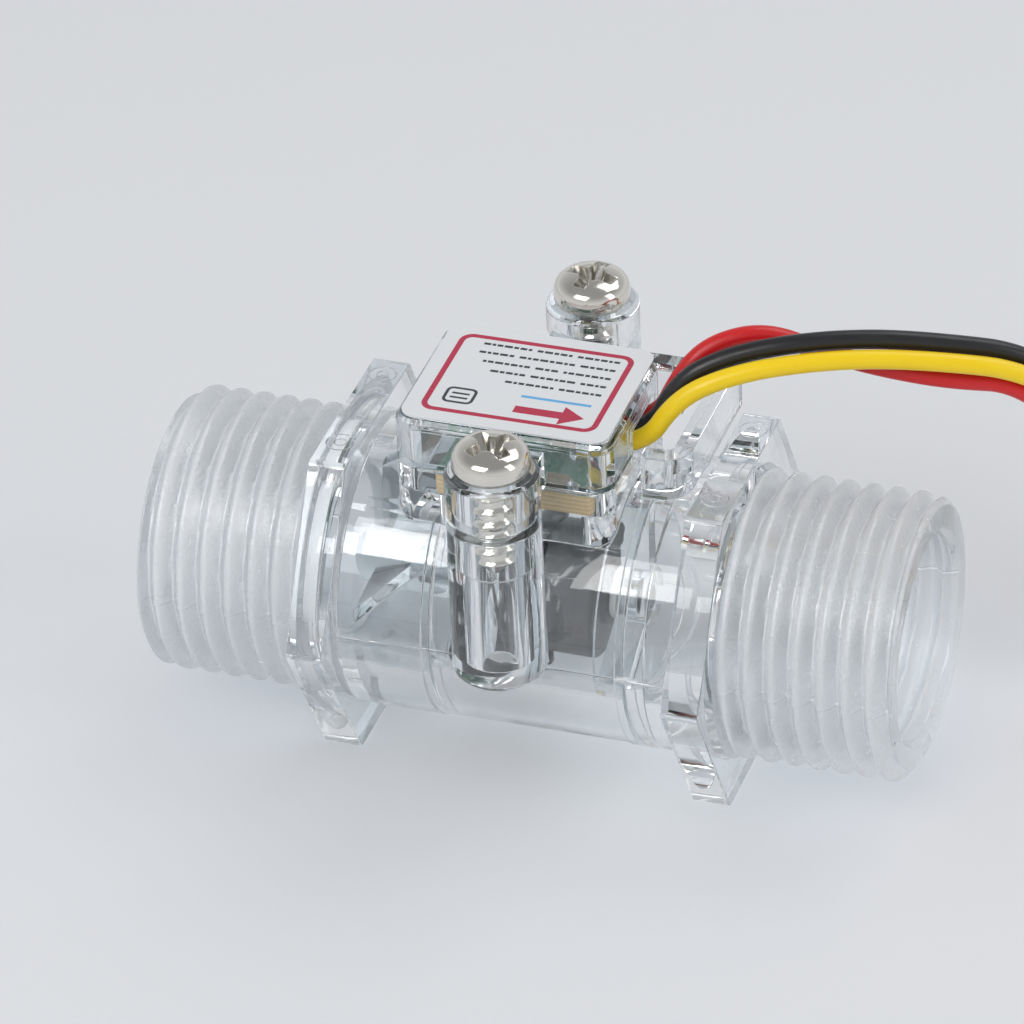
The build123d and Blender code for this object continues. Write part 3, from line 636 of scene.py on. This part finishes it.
def thread_radius(first_crest):
    """The thread's radius at a place along the pipe and a turn about it, with the mould's seam."""
    def radius_at(x, turn):
        phase = (x - first_crest) / THREAD_PITCH - (turn - math.pi / 2) / (2 * math.pi)
        away = abs(phase - round(phase)) * 2
        flank = min(max((away - CREST_SHARE) / FLANK_SHARE, 0.0), 1.0)
        fall = flank * (1 - FLANK_SAG + FLANK_SAG * flank)
        above = math.sin(turn) * THREAD_CREST
        ridge = SEAM_RISE * max(0.0, 1 - abs(above) / SEAM_WIDTH)
        step = SEAM_STEP if above < -SEAM_WIDTH / 2 else 0.0
        return min(THREAD_CREST - (THREAD_CREST - THREAD_ROOT) * fall + ridge, RIDGE_LIMIT) - step
    return radius_at


def thread_cutter(side, first_crest):
    """The space between the threads of one pipe end."""
    start = HEX_FACE + CUTTER_GAP
    end = HALF_LENGTH + CUTTER_OVERRUN
    steps = int((end - start) / THREAD_PITCH * CUTTER_ROWS)
    rows = [side * (start + (end - start) * k / steps) for k in range(steps + 1)]
    turns = seam_turns(CUTTER_COLUMNS)
    return ring_mesh("thread_cutter", rows, turns, thread_radius(first_crest), CUTTER_RADIUS)


def frost_threads(mesh):
    """Gives the outside of the threaded ends the second, frosted material."""
    for face in mesh.polygons:
        spot = face.center
        radius = math.hypot(spot.y, spot.z - AXIS_HEIGHT)
        if radius > FROST_RADIUS and abs(spot.x) > HEX_FACE + 0.01 * MM:
            face.material_index = 1


# Marks that the mould leaves on the pipe body

# Ejector pins on each hexagon's upper flat: places across it, then each ring's radius and half width
PIN_PLACES = (-4.2 * MM, 5.0 * MM)
PIN_RINGS = ((1.0 * MM, 0.07 * MM), (0.42 * MM, 0.06 * MM))
PIN_SIDES = 40
PIN_GROOVE_SIDES = 6

# Seam beads on the barrel: each run's start, end and distance from the pipe axis
BARREL_END = HEX_FACE - HEX_THICKNESS + 0.1 * MM
BEAD_RUNS = (
    (-BARREL_END, -6.4 * MM, 10.69 * MM),
    (-6.2 * MM, -2.9 * MM, 10.6 * MM),
    (2.9 * MM, 8.1 * MM, 10.6 * MM),
    (8.3 * MM, BARREL_END, 10.68 * MM),
)
BEAD_RADIUS = 0.07 * MM
BEAD_LIFT = 0.01 * MM
BEAD_SIDES = 8


def pin_mark_rings():
    """Ring grooves that ejector pins leave on the upper flats of the hexagons."""
    points, faces = [], []
    top = BODY_LOW.z + 2 * AXIS_HEIGHT
    middle = HEX_FACE - HEX_THICKNESS / 2
    turns = [2 * math.pi * i / PIN_SIDES for i in range(PIN_SIDES)]
    tilts = [2 * math.pi * (j + 0.5) / PIN_GROOVE_SIDES for j in range(PIN_GROOVE_SIDES)]
    marks = [(x, y, ring) for x in (-middle, middle) for y in PIN_PLACES for ring in PIN_RINGS]
    for x, y, (radius, groove) in marks:
        first = len(points)
        for turn in turns:
            for tilt in tilts:
                r = radius + groove * math.cos(tilt)
                z = top + groove * math.sin(tilt)
                points.append((x + r * math.cos(turn), y + r * math.sin(turn), z))
        for i in range(PIN_SIDES):
            low, high = first + i * PIN_GROOVE_SIDES, first + (i + 1) % PIN_SIDES * PIN_GROOVE_SIDES
            for j in range(PIN_GROOVE_SIDES):
                k = (j + 1) % PIN_GROOVE_SIDES
                faces.append((low + j, high + j, high + k, low + k))
    return mesh_from("pin_marks", points, faces)


def seam_beads():
    """Fine beads that the mould's two halves leave along the barrel, in front and at the back."""
    points, faces = [], []
    turns = [2 * math.pi * (k + 0.5) / BEAD_SIDES for k in range(BEAD_SIDES)]
    for side in (-1, 1):
        for start, end, away in BEAD_RUNS:
            first = len(points)
            for x in (start, end):
                for turn in turns:
                    y = side * (away + BEAD_RADIUS * math.cos(turn))
                    points.append((x, y, AXIS_HEIGHT + BEAD_LIFT + BEAD_RADIUS * math.sin(turn)))
            faces += [tuple(range(first, first + BEAD_SIDES)), tuple(range(first + BEAD_SIDES, len(points)))]
            faces += bands(first, 2, BEAD_SIDES)
    return mesh_from("seam_beads", points, faces)


# Clear mouldings

def make_body():
    """The clear pipe body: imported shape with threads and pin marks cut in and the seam's beads put on."""
    mesh = clean_copy("valve_body", edge=0.1 * MM)
    mesh = cut(mesh, [thread_cutter(-1, LEFT_CREST), thread_cutter(1, RIGHT_CREST), pin_mark_rings()])
    mesh = cut(mesh, [seam_beads()], "UNION")
    piece = piece_from("pipe_moulding", mesh, clear_plastic("clear_body"))
    mesh.materials.append(frosted_plastic("frosted_threads"))
    frost_threads(mesh)
    steady_normals(piece)
    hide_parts("valve_body")


def make_cover():
    """The clear cover of the circuit box."""
    mesh = clean_copy("sensor_cover", edge=0.08 * MM)
    piece = piece_from("cover_moulding", mesh, clear_plastic("clear_cover"))
    steady_normals(piece)
    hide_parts("sensor_cover")


# Screws

# The shank: radii, pitch and length, the steepness of a flank, the plain neck and the blunt tip
SCREW_SHANK = 1.45 * MM
SCREW_ROOT = 1.12 * MM
SCREW_PITCH = 1.1 * MM
SCREW_LENGTH = 8.0 * MM
SCREW_FLANK = 1.9
NECK_LENGTH = 0.9 * MM
NECK_RADIUS = 1.24 * MM
TIP_RADIUS = 0.35 * MM
TIP_SLOPE = 0.8
SCREW_ROWS = 96
SCREW_COLUMNS = 56

# The head from its seat up to the crown, in millimetres: radius and height
HEAD_RADIUS = 2.8 * MM
HEAD_HEIGHT = 2.3 * MM
HEAD_PROFILE = [
    (1.5, 0.0), (2.5, 0.0), (2.72, 0.1), (2.8, 0.32), (2.8, 0.74), (2.77, 1.05), (2.69, 1.33), (2.54, 1.58),
    (2.33, 1.77), (2.06, 1.92), (1.7, 2.04), (1.3, 2.13), (0.9, 2.19), (0.45, 2.225), (0.12, 2.23),
]

# The cross recess from above the crown down, in millimetres: height, an arm's half width and reach,
# and how far the arms' inner corners are cut
RECESS_LEVELS = (
    (2.6, 0.54, 2.15, 0.42),
    (2.0, 0.5, 1.85, 0.36),
    (0.95, 0.34, 0.95, 0.16),
    (0.6, 0.12, 0.2, 0.02),
)

# Faces of the recess, which get a rougher finish painted darker as shade: above this height, inside this
# radius and this far below the dome, in millimetres
RECESS_FLOOR = 0.4
RECESS_RADIUS = 2.2
RECESS_SINK = 0.06

# The screws: piece, side of the box, and turn of the recess in radians
SCREWS = (("screw_front", -1, 0.9), ("screw_back", 1, 1.36))


def shank_radius(z, turn):
    """The shank's radius at a depth below the head: a plain neck, then the thread down to a blunt tip."""
    if z > -NECK_LENGTH:
        return NECK_RADIUS
    phase = z / SCREW_PITCH - turn / (2 * math.pi)
    away = abs(phase - round(phase)) * 2
    thread = SCREW_ROOT + (SCREW_SHANK - SCREW_ROOT) * max(0.0, 1 - away * SCREW_FLANK)
    return min(thread, TIP_RADIUS + (z + SCREW_LENGTH) * TIP_SLOPE)


def screw_mesh(place):
    """A pan head screw with its thread, from the tip up to the head, at the seat's place."""
    points = []
    turns = [2 * math.pi * j / SCREW_COLUMNS for j in range(SCREW_COLUMNS)]
    for k in range(SCREW_ROWS + 1):
        z = -SCREW_LENGTH + SCREW_LENGTH * k / SCREW_ROWS
        for turn in turns:
            r = shank_radius(z, turn)
            points.append((place.x + r * math.cos(turn), place.y + r * math.sin(turn), place.z + z))
    for r, z in HEAD_PROFILE:
        for turn in turns:
            x, y = r * MM * math.cos(turn), r * MM * math.sin(turn)
            points.append((place.x + x, place.y + y, place.z + z * MM))
    faces = bands(0, len(points) // SCREW_COLUMNS, SCREW_COLUMNS)
    faces.append(tuple(range(SCREW_COLUMNS)))
    faces.append(tuple(range(len(points) - SCREW_COLUMNS, len(points))))
    return mesh_from("screw", points, faces)


def recess_mesh(place, turn):
    """The tapered cross that is cut into a screw head."""
    points = []
    for z, half, reach, corner in RECESS_LEVELS:
        for quarter in range(4):
            a = math.pi / 2 * quarter + turn
            for u, v in ((reach, -half), (reach, half), (half + corner, half), (half, half + corner)):
                x = u * math.cos(a) - v * math.sin(a)
                y = u * math.sin(a) + v * math.cos(a)
                points.append((place.x + x * MM, place.y + y * MM, place.z + z * MM))
    sides = len(points) // len(RECESS_LEVELS)
    faces = bands(0, len(RECESS_LEVELS), sides)
    faces.append(tuple(range(sides)))
    faces.append(tuple(range(len(points) - sides, len(points))))
    return mesh_from("recess", points, faces)


def paint_recess_shade(mesh, place):
    """Gives the faces that lie below the head's dome the recess finish: rougher, and darker with painted
    shade.
    """
    crown_down = HEAD_PROFILE[::-1]
    for face in mesh.polygons:
        spot = (face.center - place) / MM
        r = math.hypot(spot.x, spot.y)
        if spot.z < RECESS_FLOOR or r > RECESS_RADIUS:
            continue
        dome = next(height for radius, height in crown_down if radius > r)
        if spot.z < dome - RECESS_SINK:
            face.material_index = 1


def make_screws():
    """The two nickel-plated screws of the cover."""
    plate = finish("nickel_plate")
    # The recess finish is rougher, and its darker nickel is painted shade in the cross
    dull_painted_shade = finish("recess_nickel_painted_shade")
    seat = SCREW_HIGH.z - HEAD_HEIGHT
    reach = SCREW_HIGH.y - HEAD_RADIUS
    for name, side, turn in SCREWS:
        place = Vector((0, side * reach, seat))
        helper = loose(name, cut(screw_mesh(place), [recess_mesh(place, turn)]))
        soften(helper, width=0.05 * MM, angle=42)
        piece = piece_from(name, settled(name, helper), plate)
        piece.data.materials.append(dull_painted_shade)
        paint_recess_shade(piece.data, place)
        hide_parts("cover_screws")


# Label

# The print's lower face is sunk in the film, and its upper one stands just above it
PRINT_LOW = LABEL_HIGH.z - 0.004 * MM
PRINT_HIGH = LABEL_HIGH.z + 0.012 * MM

FRAME_INSET = 1.15 * MM
FRAME_LINE = 0.42 * MM

# Rows of dashes, in millimetres: a row's place and the lengths of its runs
DASH_ROWS = (
    (4.1, (3.1, 2.2, 3.1)),
    (3.0, (2.4, 4.0, 2.2)),
    (1.9, (3.4, 1.5, 3.6)),
    (0.8, (1.6, 3.0, 2.4)),
    (-0.3, (2.8, 3.3)),
)
DASH_LENGTHS = (0.42, 0.26, 0.5, 0.34, 0.6)
DASH_HEIGHT = 0.26
DASH_GAP = 0.12
RUN_GAP = 0.3
DASH_INSET = 2.15 * MM

# The small box: its place from the label's corner, its sides, its line and the two short lines in it
BOX_INSET = 2.4 * MM
BOX_WIDTH = 2.3 * MM
BOX_DEPTH = 2.0 * MM
BOX_LINE = 0.22 * MM
BOX_MARKS = (0.6 * MM, 1.15 * MM)
BOX_MARK_INSET = 0.5 * MM
BOX_MARK_HEIGHT = 0.2 * MM

# The flow arrow: its tip from the label's corner, and in millimetres its length and half widths
ARROW_INSET = 2.4 * MM
ARROW_RISE = 2.75 * MM
ARROW_LENGTH = 5.2
ARROW_HEAD = 1.7
ARROW_HEAD_HALF = 1.15
ARROW_HALF = 0.42
STRIPE_RISE = 4.45 * MM
STRIPE_HALF = 0.14 * MM


def rounded_outline(left, right, front, back, corner, steps=8):
    """Points round a rectangle with round corners, anticlockwise."""
    outline = []
    centres = ((right - corner, back - corner, 0), (left + corner, back - corner, 1),
               (left + corner, front + corner, 2), (right - corner, front + corner, 3))
    for x, y, quarter in centres:
        for k in range(steps + 1):
            a = math.pi / 2 * (quarter + k / steps)
            outline.append((x + corner * math.cos(a), y + corner * math.sin(a)))
    return outline


def rectangle(left, right, front, back):
    """The corners of a rectangle."""
    return [(left, front), (right, front), (right, back), (left, back)]


def print_mesh(shapes):
    """Flat printed shapes as thin solids: each is an outline with a hole of as many points, or None."""
    points, faces = [], []
    for outline, hole in shapes:
        first, count = len(points), len(outline)
        for ring in (outline, hole) if hole else (outline,):
            for z in (PRINT_LOW, PRINT_HIGH):
                points += [(x, y, z) for x, y in ring]
        if hole:
            a, b, c, d = (first + count * layer for layer in range(4))
            for j in range(count):
                k = (j + 1) % count
                faces += [(a + j, a + k, b + k, b + j), (c + j, c + k, d + k, d + j),
                          (b + j, b + k, d + k, d + j), (a + j, a + k, c + k, c + j)]
        else:
            faces += [tuple(range(first, first + count)), tuple(range(first + count, first + 2 * count))]
            faces += bands(first, 2, count)
    return mesh_from("print", points, faces)


def framed(inset, corner):
    """An outline that keeps an inset from the label's edges."""
    return rounded_outline(LABEL_LOW.x + inset, LABEL_HIGH.x - inset,
                           LABEL_LOW.y + inset, LABEL_HIGH.y - inset, corner)


def dashes():
    """Rows of short plain dashes that run left from the label's right margin."""
    shapes = []
    for y, runs in DASH_ROWS:
        front, back = (y - DASH_HEIGHT / 2) * MM, (y + DASH_HEIGHT / 2) * MM
        x, mark = LABEL_HIGH.x - DASH_INSET, 0
        for run in runs:
            end = x - run * MM
            while x > end:
                length = DASH_LENGTHS[mark % len(DASH_LENGTHS)]
                shapes.append((rectangle(x - length * MM, x, front, back), None))
                x -= (length + DASH_GAP) * MM
                mark += 1
            x -= RUN_GAP * MM
    return shapes


def small_box():
    """A small box with round corners and two short lines in it."""
    left, front = LABEL_LOW.x + BOX_INSET, LABEL_LOW.y + BOX_INSET
    right, back = left + BOX_WIDTH, front + BOX_DEPTH
    hole = rounded_outline(left + BOX_LINE, right - BOX_LINE, front + BOX_LINE, back - BOX_LINE, 0.3 * MM)
    shapes = [(rounded_outline(left, right, front, back, 0.5 * MM), hole)]
    for rise in BOX_MARKS:
        mark = rectangle(left + BOX_MARK_INSET, right - BOX_MARK_INSET,
                         front + rise, front + rise + BOX_MARK_HEIGHT)
        shapes.append((mark, None))
    return shapes


def flow_arrow():
    """A plain arrow along the way that the water flows."""
    x, y = LABEL_HIGH.x - ARROW_INSET, LABEL_LOW.y + ARROW_RISE
    corners = (
        (0, 0), (-ARROW_HEAD, ARROW_HEAD_HALF), (-ARROW_HEAD, ARROW_HALF), (-ARROW_LENGTH, ARROW_HALF),
        (-ARROW_LENGTH, -ARROW_HALF), (-ARROW_HEAD, -ARROW_HALF), (-ARROW_HEAD, -ARROW_HEAD_HALF),
    )
    return [([(x + u * MM, y + v * MM) for u, v in corners], None)]


def flow_stripe():
    """A thin plain stripe above the arrow."""
    x, y = LABEL_HIGH.x - ARROW_INSET, LABEL_LOW.y + STRIPE_RISE
    return [(rectangle(x - ARROW_LENGTH * MM, x, y - STRIPE_HALF, y + STRIPE_HALF), None)]


def make_label():
    """The grey gloss sticker with its crimson frame, rows of dashes, a small box, an arrow and a stripe."""
    grey = finish("label_film")
    shader_of(grey).inputs["Coat Weight"].default_value = 0.4
    dress("label_plate", grey, edge=0.05 * MM)
    crimson = finish("crimson_print")
    dark = finish("dark_print")
    blue = finish("blue_print")
    frame_line = [(framed(FRAME_INSET, corner=1.0 * MM), framed(FRAME_INSET + FRAME_LINE, corner=0.6 * MM))]
    prints = (("label_frame", frame_line, crimson), ("label_bars", dashes() + small_box(), dark),
              ("label_arrow", flow_arrow(), crimson), ("label_stripe", flow_stripe(), blue))
    for name, shapes, ink in prints:
        piece_from(name, print_mesh(shapes), ink)


# Circuit board

# Solder on the board's top: places in millimetres, and each drop's length, width and height
SOLDER_PLACES = (
    (4.95, -4.3), (3.95, -4.3), (0.6, -4.3), (-1.0, -4.3), (-5.2, -4.2),
    (4.6, -2.6), (0.4, -1.9), (-2.4, -1.2), (-4.6, 1.8), (-1.2, 2.6),
)
SOLDER_DROP = (0.9 * MM, 0.85 * MM, 0.5 * MM)

# The chips' tinned ends: how far out they sit, their length, and their share of a chip's width and height
TINNED_OUT = 0.05 * MM
TINNED_LENGTH = 0.62 * MM
TINNED_WIDTH = 1.1
TINNED_HEIGHT = 0.85

DROP_SIDES = 14
DROP_RINGS = 7


def board_material():
    """Green solder mask above and below, with a layered tan glass-fibre edge."""
    mat = new_material("circuit_board")
    tree, shader = mat.node_tree, shader_of(mat)
    place = add(tree, "TexCoord")
    surface = add(tree, "NewGeometry")
    face = add(tree, "SeparateXYZ")
    tree.links.new(surface.outputs["Normal"], face.inputs[0])
    flat = math_node(tree, "GREATER_THAN", math_node(tree, "ABSOLUTE", face.outputs[2]), 0.7)
    green = place_group(tree, COLOUR_DRIFT, Size=900.0,
                        Colour=(0.015, 0.16, 0.085, 1), Shade=(0.03, 0.25, 0.13, 1))
    layers = add(tree, "TexWave", wave_type="BANDS", bands_direction="Z", Scale=900.0, Distortion=1.2)
    tree.links.new(place.outputs["Object"], layers.inputs["Vector"])
    tan = add(tree, "Mix", data_type="RGBA")
    tan.inputs[6].default_value = (0.55, 0.38, 0.17, 1)
    tan.inputs[7].default_value = (0.68, 0.51, 0.27, 1)
    tree.links.new(layers.outputs[1], tan.inputs[0])
    both = add(tree, "Mix", data_type="RGBA")
    tree.links.new(flat, both.inputs[0])
    tree.links.new(tan.outputs[2], both.inputs[6])
    tree.links.new(green.outputs[0], both.inputs[7])
    tree.links.new(both.outputs[2], shader.inputs["Base Color"])
    marks = place_group(tree, HANDLING_MARKS, Size=900.0, Smooth=0.22, Rubbed=0.42)
    tree.links.new(marks.outputs[0], shader.inputs["Roughness"])
    grain = place_group(tree, MOULDED_GRAIN, Wave_Size=1400.0, Wave=0.8, Grain_Size=5000.0, Grain=0.3)
    bump(tree, shader, grain.outputs[0], 0.02 * MM)
    return mat


def drop_mesh(spots):
    """Low rounded drops that sit on a surface: each is (x, y, z, length, width, height)."""
    points, faces = [], []
    for x, y, z, length, width, height in spots:
        first = len(points)
        for i in range(DROP_RINGS):
            tilt = math.pi / 2 * i / DROP_RINGS
            for j in range(DROP_SIDES):
                turn = 2 * math.pi * j / DROP_SIDES
                across = length / 2 * math.cos(tilt) * math.cos(turn)
                along = width / 2 * math.cos(tilt) * math.sin(turn)
                points.append((x + across, y + along, z + height * math.sin(tilt)))
        top = len(points)
        last = top - DROP_SIDES
        points.append((x, y, z + height))
        faces += bands(first, DROP_RINGS, DROP_SIDES)
        faces += [(last + j, last + (j + 1) % DROP_SIDES, top) for j in range(DROP_SIDES)]
        faces.append(tuple(range(first, first + DROP_SIDES)))
    return mesh_from("drops", points, faces)


def make_circuit():
    """The board, its chips, their tinned ends and the solder."""
    dress("circuit_board", board_material(), edge=0.05 * MM)
    solder = finish("bright_solder")
    dress("chip_capacitor", finish("capacitor_ceramic"))
    dress("chip_resistor", finish("resistor_film"))
    dress("hall_sensor", finish("switch_epoxy"), edge=0.04 * MM)
    dress("solder_joints", solder)
    top = BOARD_HIGH.z
    spots = []
    for node in ("chip_capacitor", "chip_resistor"):
        low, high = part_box(node)
        width, height = (high.y - low.y) * TINNED_WIDTH, (high.z - low.z) * TINNED_HEIGHT
        for x in (low.x - TINNED_OUT, high.x + TINNED_OUT):
            spots.append((x, (low.y + high.y) / 2, top, TINNED_LENGTH, width, height))
    spots += [(x * MM, y * MM, top, *SOLDER_DROP) for x, y in SOLDER_PLACES]
    piece_from("solder_drops", drop_mesh(spots), solder)


# Water way

def make_cartridge():
    """The rotor with its magnet and shaft, the flow guide, the bracket and the clip."""
    dress("rotor", finish("black_acetal"), edge=0.05 * MM)
    dress("rotor_magnet", finish("sintered_ferrite"), edge=0.05 * MM)
    dress("rotor_shaft", finish("ground_steel"))
    dress("thrust_washers", finish("white_washer"), edge=0.04 * MM)
    dress("retaining_clip", finish("milky_clip"), edge=0.06 * MM)
    guide = clear_plastic("clear_guide")
    for node, name in (("flow_guide", "swirl_guide"), ("outlet_bracket", "shaft_bracket")):
        piece = piece_from(name, clean_copy(node, edge=0.05 * MM), guide)
        steady_normals(piece)
        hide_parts(node)


# Wires and plug

# The wires: colour, route and length
LEADS = (
    ("yellow", YELLOW_ROUTE, 0.110),
    ("black", BLACK_ROUTE, 0.104),
    ("red", RED_ROUTE, 0.116),
)


def wire(name, route, mat):
    """One insulated wire along its route."""
    curve = bpy.data.curves.new(name, "CURVE")
    curve.dimensions = "3D"
    curve.bevel_depth = WIRE_DIAMETER / 2
    curve.bevel_resolution = 8
    curve.resolution_u = 12
    curve.use_fill_caps = True
    spline = curve.splines.new("NURBS")
    spline.points.add(len(route) - 1)
    for point, place in zip(spline.points, route):
        point.co = (*place, 1)
    spline.order_u = 3
    spline.use_endpoint_u = True
    curve.materials.append(mat)
    piece = bpy.data.objects.new(name, curve)
    bpy.context.scene.collection.objects.link(piece)
    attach(piece, "sensor")
    return piece


def make_wires():
    """The three wires and their plug."""
    housing = dress("connector_housing", finish("white_nylon"), edge=0.08 * MM)
    terminals = dress("crimp_terminals", finish("tinned_brass"))
    for colour, route, length in LEADS:
        piece = wire(colour + "_lead", route, vinyl(colour + "_vinyl"))
        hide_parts("wire_" + colour)


make_camera()
make_wires()
make_world()
make_floor()
for light in LIGHTS:
    area_light(*light)
bpy.context.scene.view_settings.view_transform = "Standard"
make_body()
make_cover()
make_screws()
make_label()
make_circuit()
make_cartridge()
